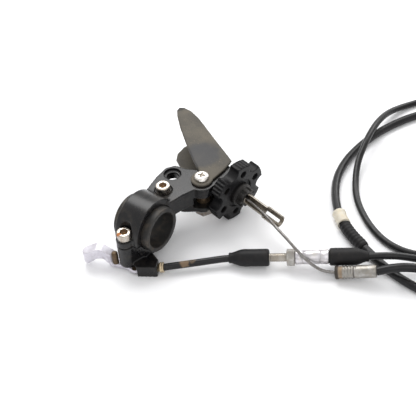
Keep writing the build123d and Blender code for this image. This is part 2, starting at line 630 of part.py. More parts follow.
def end_fitting(prefix, tail, cable_r, ferrule_l, wire_l, nipple_r):
    """Ferrule, bare wire and nipple that end a cable, in line with its last run."""
    run = (vec(tail[-1]) - vec(tail[-2])).normalized()
    start = vec(tail[-1])
    seat = start + run * ferrule_l
    tip = seat + run * wire_l
    save(f"{prefix}_end_ferrule", rod(start, seat, cable_r + 0.9))
    save(f"{prefix}_end_wire", rod(seat, tip, 0.7))
    across = Vector(0, 0, nipple_r * 0.9)
    middle = tip + run * nipple_r
    low = Vector(middle.X, middle.Y, FLOOR_Z)
    save(f"{prefix}_end_nipple", rod(low, low + across * 2 + Vector(0, 0, 1.5), nipple_r))


# ---------------------------------------------------------------- clutch cable
def clutch_wire_points():
    return [along(NIPPLE_AT + NIPPLE_R), along(WIRE_BEND), *WIRE_ROUTE, FERRULE_START]


def clutch_nipple():
    center = along(NIPPLE_AT)
    return rod(center - Vector(0, 0, 3.4), center + Vector(0, 0, 3.4), NIPPLE_R)


def clutch_ferrule():
    """Crimped metal end of the housing with a lip and four ribs."""
    start = vec(FERRULE_START)
    run = vec(FERRULE_END) - start
    body = rod(start, start + run, FERRULE_R - 0.35)
    body += rod(start, start + run * 0.1, FERRULE_R)
    for rib in range(4):
        at = 0.16 + rib * 0.075
        body += rod(start + run * at, start + run * (at + 0.045), FERRULE_R - 0.05)
    body += rod(start + run * 0.52, start + run, FERRULE_R - 0.1)
    return body


def sleeve_on(corner, outer_r, before, after):
    """Close tube round the clutch cable, from before to after its route's corner."""
    points = CLUTCH_ROUTE[corner - 2:corner + 3]
    path = cable_path(points)
    plane = Plane(origin=path @ 0, z_dir=path % 0)
    tube = sweep(plane * Circle(outer_r), path=path)
    core = sweep(plane * Circle(CLUTCH_R + 0.05), path=path)
    run_in = (vec(points[2]) - vec(points[1])).normalized()
    run_out = (vec(points[3]) - vec(points[2])).normalized()
    start = vec(points[2]) - run_in * before
    end = vec(points[2]) + run_out * after
    tube = split(tube, Plane(origin=start, z_dir=run_in), keep=Keep.TOP)
    tube = split(tube, Plane(origin=end, z_dir=run_out), keep=Keep.BOTTOM)
    return tube - core


def build():
    save("perch_body", perch_body())
    save("lower_clamp", lower_clamp())
    save("bar_sleeve", bar_sleeve())
    save("clamp_screws", clamp_screws())
    save("pivot_screw", pivot_screw())
    save("pivot_nut", pivot_nut())
    save("pivot_bush", pivot_bush())
    save("dust_boot", dust_boot())
    save("adjuster_wheel", adjuster_wheel())
    save("adjuster_tube", adjuster_tube())
    save("detent_plunger", detent_plunger())
    save("detent_spring", detent_spring())
    save("hot_start_lever", hot_start_lever())
    save("hot_start_pivot_screw", hot_pivot_screw())
    save("hot_start_pivot_bush", hot_pivot_bush())
    save("hot_start_spring", hot_return_spring())
    save("hot_start_peg", hot_peg())
    save("hot_start_nipple", hot_nipple())
    save("hot_start_cable_seat", hot_cable_seat())
    save("hot_start_lever_wire", hot_lever_wire())
    save("hot_start_upper_cable", tube_along(HOT_UPPER_ROUTE, HOT_R, "hot-start upper cable"))
    inline_adjuster()
    save("hot_start_cable", tube_along(HOT_ROUTE, HOT_R, "hot-start cable"))
    save("hot_start_coil", coil_solid(HOT_COIL, HOT_COIL_R, HOT_R, HOT_COIL_LAYERS))
    save("hot_start_tail", tube_along(HOT_TAIL, HOT_R, "hot-start tail"))
    end_fitting("hot_start", HOT_TAIL, HOT_R, 14.0, 12.0, 2.4)
    save("clutch_nipple", clutch_nipple())
    save("clutch_inner_wire", tube_along(clutch_wire_points(), INNER_WIRE_R, "clutch inner wire"))
    save("clutch_ferrule", clutch_ferrule())
    save("clutch_cable", tube_along(CLUTCH_ROUTE, CLUTCH_R, "clutch cable"))
    save("clutch_collar", sleeve_on(COLLAR_CORNER, CLUTCH_R + 1.6, 1.0, 9.0))
    save("clutch_rib_sleeve", sleeve_on(SLEEVE_CORNER, CLUTCH_R + 1.2, 5.5, 15.0))
    save("clutch_coil", coil_solid(CLUTCH_COIL, CLUTCH_COIL_R, CLUTCH_R, CLUTCH_COIL_LAYERS))
    save("clutch_tail", tube_along(CLUTCH_TAIL, CLUTCH_R, "clutch tail"))
    end_fitting("clutch", CLUTCH_TAIL, CLUTCH_R, 18.0, 16.0, 3.2)


build()
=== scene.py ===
import bpy
import math
from bpy.props import FloatProperty, FloatVectorProperty, IntProperty, PointerProperty
from mathutils import Matrix, Vector


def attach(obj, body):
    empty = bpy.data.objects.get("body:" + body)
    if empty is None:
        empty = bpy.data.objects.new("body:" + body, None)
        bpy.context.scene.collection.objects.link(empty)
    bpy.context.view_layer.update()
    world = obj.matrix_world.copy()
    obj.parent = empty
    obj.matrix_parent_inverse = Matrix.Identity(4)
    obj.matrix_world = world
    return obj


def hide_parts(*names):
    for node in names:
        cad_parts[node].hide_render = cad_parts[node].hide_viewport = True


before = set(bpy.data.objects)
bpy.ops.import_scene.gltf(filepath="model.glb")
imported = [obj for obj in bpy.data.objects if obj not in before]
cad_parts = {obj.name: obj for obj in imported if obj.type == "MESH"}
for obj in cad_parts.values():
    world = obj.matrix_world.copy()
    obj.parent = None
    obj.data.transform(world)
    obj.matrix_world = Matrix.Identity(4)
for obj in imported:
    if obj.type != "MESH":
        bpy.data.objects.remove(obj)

bl_info = {
    "name": "Clutch Perch Builder",
    "version": (1, 0, 0),
    "blender": (4, 5, 0),
    "location": "View3D > Sidebar > Perch",
    "description": "Builds a motorcycle clutch perch with its adjuster, thumb lever and cables",
    "category": "Object",
}

MM = 0.001
FLOOR_Z = -22.0
ADJUST_AXIS = Vector((0.98, -0.179, -0.0945)).normalized()
WHEEL_CENTRE = Vector((32.1, 51.4, -2.0))
PIVOT = Vector((14.5, 38.5, 11.0))
NIPPLE_AT = -26.5
NIPPLE_R = 3.0
WIRE_BEND = 9.0
SEAT_START = Vector((16.4, -13.1, -17.6))
SEAT_END = Vector((20.3, -10.6, -17.1))
BOOT_A_START = Vector((48.3, 15.1, -16.8))
BOOT_B_END = Vector((117.4, 55.0, -12.4))
BOOT_A_L, ROD_L, NUT_L, BARREL_L = 23.4, 10.0, 4.6, 19.6
FERRULE_START = Vector((105.5, 38.1, -17.2))
FERRULE_END = Vector((126.3, 47.7, -12.9))
CLUTCH_R, HOT_R = 2.6, 2.1
CLUTCH_FLOOR = FLOOR_Z + CLUTCH_R
HOT_FLOOR = FLOOR_Z + HOT_R
CLUTCH_COIL, CLUTCH_COIL_R = (204.0, 28.0), 28.6
HOT_COIL, HOT_COIL_R = (163.0, 128.0), 23.0

# Points the cables follow, in millimetres.
WIRE_ROUTE = [
    (54.3, 45.4, -4.3), (59.4, 42.7, -3.6), (65.5, 39.2, -3.3), (75.6, 35.1, -4.0), (83.8, 32.6, -7.0),
    (90.3, 32.6, -11.4), (95.4, 34.0, -15.4), (100.4, 36.0, -17.8),
]
HOT_UPPER_ROUTE = [tuple(SEAT_END), (29.6, -2.2, -17.0), (39.2, 7.0, -17.2), tuple(BOOT_A_START)]
HOT_ROUTE = [
    tuple(BOOT_B_END), (124.5, 58.6, -11.2), (132.5, 63.6, -11.4), (144.0, 71.0, -15.0),
    (158.0, 79.5, HOT_FLOOR), (175.0, 90.0, HOT_FLOOR), (190.0, 105.0, HOT_FLOOR),
    (198.5, 126.0, HOT_FLOOR), (200.5, 148.0, -16.5), (201.5, 166.0, -10.4),
    (203.5, 182.0, -10.4), (202.5, 200.0, -16.0), (193.0, 219.0, HOT_FLOOR),
    (170.0, 234.0, HOT_FLOOR), (142.0, 239.0, HOT_FLOOR), (117.0, 238.0, HOT_FLOOR),
    (96.0, 230.0, HOT_FLOOR), (82.0, 218.0, HOT_FLOOR), (71.0, 203.0, HOT_FLOOR),
    (64.5, 187.0, -17.5), (65.0, 170.0, -12.6), (67.0, 154.5, -10.4),
    (69.5, 140.0, -10.8), (72.0, 126.0, -15.5), (78.0, 112.5, -19.2),
    (85.0, 101.0, HOT_FLOOR), (94.5, 91.0, HOT_FLOOR), (106.0, 82.0, HOT_FLOOR),
    (119.0, 76.0, HOT_FLOOR), (134.0, 75.5, HOT_FLOOR), (149.0, 83.0, HOT_FLOOR),
    (163.0, 95.0, HOT_FLOOR), (176.2, 109.2, HOT_FLOOR),
]
HOT_TAIL = [(174.5, 147.9, -15.7), (160.0, 157.5, -17.4), (147.0, 162.0, -19.0), (135.0, 165.5, -19.0)]
CLUTCH_ROUTE = [
    tuple(FERRULE_END), (133.0, 52.4, -10.6), (143.0, 58.8, -10.2), (156.0, 66.0, -14.0),
    (171.0, 75.0, -19.0), (188.0, 87.5, CLUTCH_FLOOR), (203.0, 104.0, CLUTCH_FLOOR),
    (213.0, 124.0, CLUTCH_FLOOR), (215.0, 146.0, CLUTCH_FLOOR), (209.0, 168.0, CLUTCH_FLOOR),
    (197.0, 188.0, CLUTCH_FLOOR), (179.0, 204.0, CLUTCH_FLOOR), (158.0, 214.0, CLUTCH_FLOOR),
    (136.0, 219.0, CLUTCH_FLOOR), (113.0, 218.0, CLUTCH_FLOOR), (94.0, 209.0, CLUTCH_FLOOR),
    (81.0, 195.0, CLUTCH_FLOOR), (72.5, 179.0, CLUTCH_FLOOR), (66.5, 163.0, CLUTCH_FLOOR),
    (63.5, 146.0, CLUTCH_FLOOR), (62.5, 129.0, CLUTCH_FLOOR), (65.5, 111.0, CLUTCH_FLOOR),
    (73.5, 94.5, -19.0), (84.0, 80.5, -17.7), (96.5, 70.5, -17.7), (110.0, 64.5, -18.2),
    (124.0, 59.0, CLUTCH_FLOOR), (139.0, 54.5, CLUTCH_FLOOR), (155.0, 53.0, CLUTCH_FLOOR),
    (170.0, 54.0, CLUTCH_FLOOR), (184.0, 56.2, CLUTCH_FLOOR), (198.6, 56.6, CLUTCH_FLOOR),
]
CLUTCH_TAIL = [
    (232.6, 27.0, -9.0), (232.0, 12.0, -11.5), (230.0, -4.0, -17.6), (227.5, -18.0, -18.5),
    (225.0, -32.0, -18.5),
]
COLLAR_CORNER, SLEEVE_CORNER = 23, 24

# Shape of the dust boot's flaps, in millimetres from the pivot.
BOOT_ACROSS = Vector((0.473, 0.881, 0.0))
BOOT_LENGTH = Vector((-0.881, 0.473, 0.0))
BOOT_MIDDLE, BOOT_HALF_WIDTH, BOOT_INSIDE_Z = 14.0, 16.0, 4.0
UPPER_CROWN, LOWER_CROWN, TIP_DROP = 2.4, 1.6, 0.6

# The camera, in metres: its right, up and back, its place and its lens in millimetres.
CAMERA_AXES = ((0.8172, 0.5736, -0.0571), (-0.3631, 0.5892, 0.7217), (0.4476, -0.569, 0.6898))
CAMERA_PLACE = (0.26254, -0.27321, 0.36652)
CAMERA_LENS = 78.3


# ---------------------------------------------------------------- settings
class PerchSettings(bpy.types.PropertyGroup):
    dust: FloatProperty(
        name="Dust", description="How dusty the upward faces are", default=1.0, min=0.0, max=2.0,
        subtype="FACTOR")
    voxel: FloatProperty(
        name="Edge Voxel", description="Grid size used to soften cast edges", default=0.0004,
        min=0.0002, max=0.001, unit="LENGTH", precision=4)
    clutch_diameter: FloatProperty(
        name="Clutch Cable", description="Outside diameter of the clutch cable", default=0.0052,
        min=0.003, max=0.008, unit="LENGTH", precision=4)
    hot_diameter: FloatProperty(
        name="Hot-Start Cable", description="Outside diameter of the hot-start cable",
        default=0.0042, min=0.003, max=0.008, unit="LENGTH", precision=4)
    wire_diameter: FloatProperty(
        name="Inner Wire", description="Diameter of the clutch's inner wire", default=0.0018,
        min=0.001, max=0.003, unit="LENGTH", precision=4)
    coil_steps: IntProperty(
        name="Coil Steps", description="Control points per turn of a coil", default=24, min=12,
        max=48)
    floor_color: FloatVectorProperty(
        name="Floor", description="Colour of the floor", default=(0.93, 0.93, 0.94),
        subtype="COLOR", size=3, min=0.0, max=1.0)


# ---------------------------------------------------------------- node group helpers
def new_group(name, inputs, outputs):
    tree = bpy.data.node_groups.new(name, "ShaderNodeTree")
    for label, kind, value in inputs:
        socket = tree.interface.new_socket(label, in_out="INPUT", socket_type="NodeSocket" + kind)
        socket.default_value = value
    for label, kind in outputs:
        tree.interface.new_socket(label, in_out="OUTPUT", socket_type="NodeSocket" + kind)
    return tree, tree.nodes.new("NodeGroupInput"), tree.nodes.new("NodeGroupOutput")


def plug(tree, value, socket):
    """Links a socket, or sets a number."""
    if isinstance(value, bpy.types.NodeSocket):
        tree.links.new(value, socket)
    else:
        socket.default_value = value


def math_node(tree, operation, first, second=0.0, third=0.0, clamp=False):
    node = tree.nodes.new("ShaderNodeMath")
    node.operation = operation
    node.use_clamp = clamp
    for value, socket in zip((first, second, third), node.inputs):
        plug(tree, value, socket)
    return node.outputs[0]


def vector_node(tree, operation, first, second=(0.0, 0.0, 0.0), output="Vector"):
    node = tree.nodes.new("ShaderNodeVectorMath")
    node.operation = operation
    plug(tree, first, node.inputs[0])
    plug(tree, second, node.inputs[1])
    return node.outputs[output]


def smooth_step(tree, value, low, high):
    node = tree.nodes.new("ShaderNodeMapRange")
    node.interpolation_type = "SMOOTHSTEP"
    plug(tree, value, node.inputs["Value"])
    plug(tree, low, node.inputs["From Min"])
    plug(tree, high, node.inputs["From Max"])
    return node.outputs["Result"]


def mix_color(tree, factor, first, second):
    node = tree.nodes.new("ShaderNodeMix")
    node.data_type = "RGBA"
    plug(tree, factor, node.inputs[0])
    plug(tree, first, node.inputs[6])
    plug(tree, second, node.inputs[7])
    return node.outputs[2]


def mix_value(tree, factor, first, second):
    node = tree.nodes.new("ShaderNodeMix")
    node.data_type = "FLOAT"
    plug(tree, factor, node.inputs[0])
    plug(tree, first, node.inputs[2])
    plug(tree, second, node.inputs[3])
    return node.outputs[0]


def noise_node(tree, vector, scale, detail=4.0, roughness=0.55):
    node = tree.nodes.new("ShaderNodeTexNoise")
    plug(tree, vector, node.inputs["Vector"])
    plug(tree, scale, node.inputs["Scale"])
    node.inputs["Detail"].default_value = detail
    node.inputs["Roughness"].default_value = roughness
    return node.outputs["Fac"]


def object_coords(tree):
    return tree.nodes.new("ShaderNodeTexCoord").outputs


# ---------------------------------------------------------------- shared effects
def make_patchy_coat():
    """Base finish: two tones, fine grain and dust on the faces that look up."""
    tree, given, result = new_group("Patchy_Coat", [
        ("Base", "Color", (0.02, 0.02, 0.02, 1)), ("Second", "Color", (0.05, 0.05, 0.05, 1)),
        ("Dust", "Color", (0.25, 0.2, 0.15, 1)), ("Second Amount", "Float", 0.4),
        ("Dust Amount", "Float", 0.2), ("Scale", "Float", 160.0), ("Grain", "Float", 2400.0),
        ("Roughness", "Float", 0.4), ("Roughness Spread", "Float", 0.15),
    ], [("Color", "Color"), ("Roughness", "Float"), ("Height", "Float"), ("Dust Mask", "Float")])
    coords = object_coords(tree)
    place = coords["Object"]
    broad = noise_node(tree, place, given.outputs["Scale"], 5.0)
    fine = noise_node(tree, place, given.outputs["Grain"], 2.0)
    shifted = vector_node(tree, "ADD", place, (0.31, 0.17, 0.53))
    cloud = noise_node(tree, shifted, math_node(tree, "MULTIPLY", given.outputs["Scale"], 0.45), 6.0, 0.65)
    patch = smooth_step(tree, broad, 0.42, 0.66)
    tone = math_node(tree, "MULTIPLY", patch, given.outputs["Second Amount"])
    color = mix_color(tree, tone, given.outputs["Base"], given.outputs["Second"])
    up = tree.nodes.new("ShaderNodeSeparateXYZ")
    plug(tree, coords["Normal"], up.inputs[0])
    facing = smooth_step(tree, up.outputs["Z"], 0.1, 0.9)
    settled = smooth_step(tree, math_node(tree, "ADD", math_node(tree, "MULTIPLY", cloud, 0.75),
                                          math_node(tree, "MULTIPLY", fine, 0.35)), 0.42, 0.78)
    dust = math_node(tree, "MULTIPLY", settled, math_node(tree, "MULTIPLY_ADD", facing, 0.8, 0.2))
    dust = math_node(tree, "MULTIPLY", dust, given.outputs["Dust Amount"], clamp=True)
    color = mix_color(tree, dust, color, given.outputs["Dust"])
    spread = math_node(tree, "MULTIPLY", math_node(tree, "SUBTRACT", broad, 0.5),
                       given.outputs["Roughness Spread"])
    rough = math_node(tree, "ADD", given.outputs["Roughness"], math_node(tree, "MULTIPLY", spread, 2.0))
    rough = math_node(tree, "MULTIPLY_ADD", dust, 0.35, rough, clamp=True)
    height = math_node(tree, "MULTIPLY_ADD", broad, 0.4, math_node(tree, "MULTIPLY", fine, 0.6))
    plug(tree, color, result.inputs["Color"])
    plug(tree, rough, result.inputs["Roughness"])
    plug(tree, height, result.inputs["Height"])
    plug(tree, dust, result.inputs["Dust Mask"])


def make_spot_mask():
    """A ragged spot round a point."""
    tree, given, result = new_group("Spot_Mask", [
        ("Centre", "Vector", (0, 0, 0)), ("Radius", "Float", 0.003), ("Ragged", "Float", 0.5),
        ("Scale", "Float", 500.0), ("Strength", "Float", 1.0),
    ], [("Mask", "Float")])
    place = object_coords(tree)["Object"]
    away = vector_node(tree, "DISTANCE", place, given.outputs["Centre"], "Value")
    share = math_node(tree, "DIVIDE", away, given.outputs["Radius"])
    ragged = noise_node(tree, place, given.outputs["Scale"], 4.0)
    ragged = math_node(tree, "MULTIPLY", math_node(tree, "SUBTRACT", ragged, 0.5),
                       math_node(tree, "MULTIPLY", given.outputs["Ragged"], 2.0))
    inside = math_node(tree, "SUBTRACT", 1.0, math_node(tree, "ADD", share, ragged))
    mask = smooth_step(tree, inside, 0.0, 0.35)
    plug(tree, math_node(tree, "MULTIPLY", mask, given.outputs["Strength"]), result.inputs["Mask"])


def make_band_mask():
    """The slice between two distances along an axis."""
    tree, given, result = new_group("Band_Mask", [
        ("Start", "Vector", (0, 0, 0)), ("Axis", "Vector", (1, 0, 0)), ("From", "Float", 0.0),
        ("To", "Float", 0.01), ("Soft", "Float", 0.0003), ("Strength", "Float", 1.0),
    ], [("Mask", "Float")])
    place = object_coords(tree)["Object"]
    offset = vector_node(tree, "SUBTRACT", place, given.outputs["Start"])
    along = vector_node(tree, "DOT_PRODUCT", offset, given.outputs["Axis"], "Value")
    soft = given.outputs["Soft"]
    rise = smooth_step(tree, along, math_node(tree, "SUBTRACT", given.outputs["From"], soft),
                       math_node(tree, "ADD", given.outputs["From"], soft))
    fall = smooth_step(tree, along, math_node(tree, "SUBTRACT", given.outputs["To"], soft),
                       math_node(tree, "ADD", given.outputs["To"], soft))
    mask = math_node(tree, "MULTIPLY", rise, math_node(tree, "SUBTRACT", 1.0, fall))
    plug(tree, math_node(tree, "MULTIPLY", mask, given.outputs["Strength"]), result.inputs["Mask"])


def make_cloud_mask():
    """Loose patches over the whole piece."""
    tree, given, result = new_group("Cloud_Mask", [
        ("Scale", "Float", 250.0), ("Cover", "Float", 0.4), ("Soft", "Float", 0.12),
        ("Stretch", "Vector", (1, 1, 1)), ("Shift", "Float", 0.0), ("Strength", "Float", 1.0),
    ], [("Mask", "Float")])
    place = object_coords(tree)["Object"]
    stretched = vector_node(tree, "MULTIPLY", place, given.outputs["Stretch"])
    moved = vector_node(tree, "ADD", stretched, given.outputs["Shift"])
    cloud = noise_node(tree, moved, given.outputs["Scale"], 5.0, 0.6)
    low = math_node(tree, "SUBTRACT", 0.75, math_node(tree, "MULTIPLY", given.outputs["Cover"], 0.5))
    mask = smooth_step(tree, cloud, math_node(tree, "SUBTRACT", low, given.outputs["Soft"]),
                       math_node(tree, "ADD", low, given.outputs["Soft"]))
    plug(tree, math_node(tree, "MULTIPLY", mask, given.outputs["Strength"]), result.inputs["Mask"])


def make_speckle_mask():
    """Small scattered dots."""
    tree, given, result = new_group("Speckle_Mask", [
        ("Scale", "Float", 900.0), ("Size", "Float", 0.25), ("Strength", "Float", 1.0),
    ], [("Mask", "Float")])
    place = object_coords(tree)["Object"]
    dots = tree.nodes.new("ShaderNodeTexVoronoi")
    plug(tree, place, dots.inputs["Vector"])
    plug(tree, given.outputs["Scale"], dots.inputs["Scale"])
    pick = noise_node(tree, place, math_node(tree, "MULTIPLY", given.outputs["Scale"], 0.3), 3.0)
    size = math_node(tree, "MULTIPLY", given.outputs["Size"], smooth_step(tree, pick, 0.45, 0.7))
    mask = math_node(tree, "SUBTRACT", 1.0, smooth_step(tree, dots.outputs["Distance"], 0.0,
                                                         math_node(tree, "MAXIMUM", size, 0.001)))
    plug(tree, math_node(tree, "MULTIPLY", mask, given.outputs["Strength"]), result.inputs["Mask"])


def make_weave_lines():
    """Fine slanted lines, as on a wound sheath or a twisted strand."""
    tree, given, result = new_group("Weave_Lines", [
        ("Scale", "Float", 500.0), ("Slant", "Vector", (1, 1, 0.4)), ("Strength", "Float", 1.0),
    ], [("Mask", "Float"), ("Height", "Float")])
    place = object_coords(tree)["Object"]
    lines = tree.nodes.new("ShaderNodeTexWave")
    plug(tree, vector_node(tree, "MULTIPLY", place, given.outputs["Slant"]), lines.inputs["Vector"])
    plug(tree, given.outputs["Scale"], lines.inputs["Scale"])
    lines.bands_direction = "DIAGONAL"
    lines.inputs["Distortion"].default_value = 1.2
    lines.inputs["Detail"].default_value = 1.0
    value = lines.outputs["Fac"]
    plug(tree, math_node(tree, "MULTIPLY", value, given.outputs["Strength"]), result.inputs["Mask"])
    plug(tree, value, result.inputs["Height"])


def make_effects():
    make_patchy_coat()
    make_spot_mask()
    make_band_mask()
    make_cloud_mask()
    make_speckle_mask()
    make_weave_lines()


def effect(tree, name, values):
    node = tree.nodes.new("ShaderNodeGroup")
    node.node_tree = bpy.data.node_groups[name]
    for label, value in values.items():
        if isinstance(value, tuple) and len(value) == 3 and node.inputs[label].type == "RGBA":
            value = (*value, 1.0)
        node.inputs[label].default_value = value
    return node


def finish(name, coat, layers=(), metallic=0.0, clear=0.0, bump=0.15, depth=0.0001, lines=None,
           specular=0.5):
    """A material from the shared effects: a coat, then layers of (effect, values, colour, roughness,
    metallic)."""
    material = bpy.data.materials.new(name)
    material.use_nodes = True
    tree = material.node_tree
    shader = tree.nodes["Principled BSDF"]
    base = effect(tree, "Patchy_Coat", coat)
    color, rough, height = base.outputs["Color"], base.outputs["Roughness"], base.outputs["Height"]
    metal = metallic
    for kind, values, tint, layer_rough, layer_metal in layers:
        mask = effect(tree, kind, values).outputs["Mask"]
        color = mix_color(tree, mask, color, (*tint, 1.0))
        rough = mix_value(tree, mask, rough, layer_rough)
        if layer_metal != metallic or not isinstance(metal, float):
            metal = mix_value(tree, mask, metal, layer_metal)
    if lines:
        weave = effect(tree, "Weave_Lines", lines)
        height = math_node(tree, "MULTIPLY_ADD", weave.outputs["Height"], 1.5, height)
    plug(tree, color, shader.inputs["Base Color"])
    plug(tree, rough, shader.inputs["Roughness"])
    plug(tree, metal, shader.inputs["Metallic"])
    shader.inputs["Coat Weight"].default_value = clear
    shader.inputs["Coat Roughness"].default_value = 0.25
    shader.inputs["Specular IOR Level"].default_value = specular
    relief = tree.nodes.new("ShaderNodeBump")
    relief.inputs["Strength"].default_value = bump
    relief.inputs["Distance"].default_value = depth
    plug(tree, height, relief.inputs["Height"])
    plug(tree, relief.outputs["Normal"], shader.inputs["Normal"])
    return material


def coat(base, second, dust=(0.2, 0.15, 0.1), second_amount=0.4, dust_amount=0.2, scale=160.0,
         grain=2400.0, rough=0.4, spread=0.15):
    return {
        "Base": base, "Second": second, "Dust": dust, "Second Amount": second_amount,
        "Dust Amount": dust_amount, "Scale": scale, "Grain": grain, "Roughness": rough,
        "Roughness Spread": spread,
    }


def spot(centre, radius, ragged=0.4, strength=1.0, scale=500.0):
    return {
        "Centre": tuple(Vector(centre) * MM), "Radius": radius * MM, "Ragged": ragged,
        "Scale": scale, "Strength": strength,
    }


def band(start, axis, low, high, soft=0.3, strength=1.0):
    return {
        "Start": tuple(Vector(start) * MM), "Axis": tuple(Vector(axis).normalized()),
        "From": low * MM, "To": high * MM, "Soft": soft * MM, "Strength": strength,
    }


def cloud(scale, cover, strength=1.0, soft=0.12, shift=0.0, stretch=(1, 1, 1)):
    return {"Scale": scale, "Cover": cover, "Soft": soft, "Stretch": stretch, "Shift": shift,
            "Strength": strength}


def speckle(scale, size, strength):
    return {"Scale": scale, "Size": size, "Strength": strength}


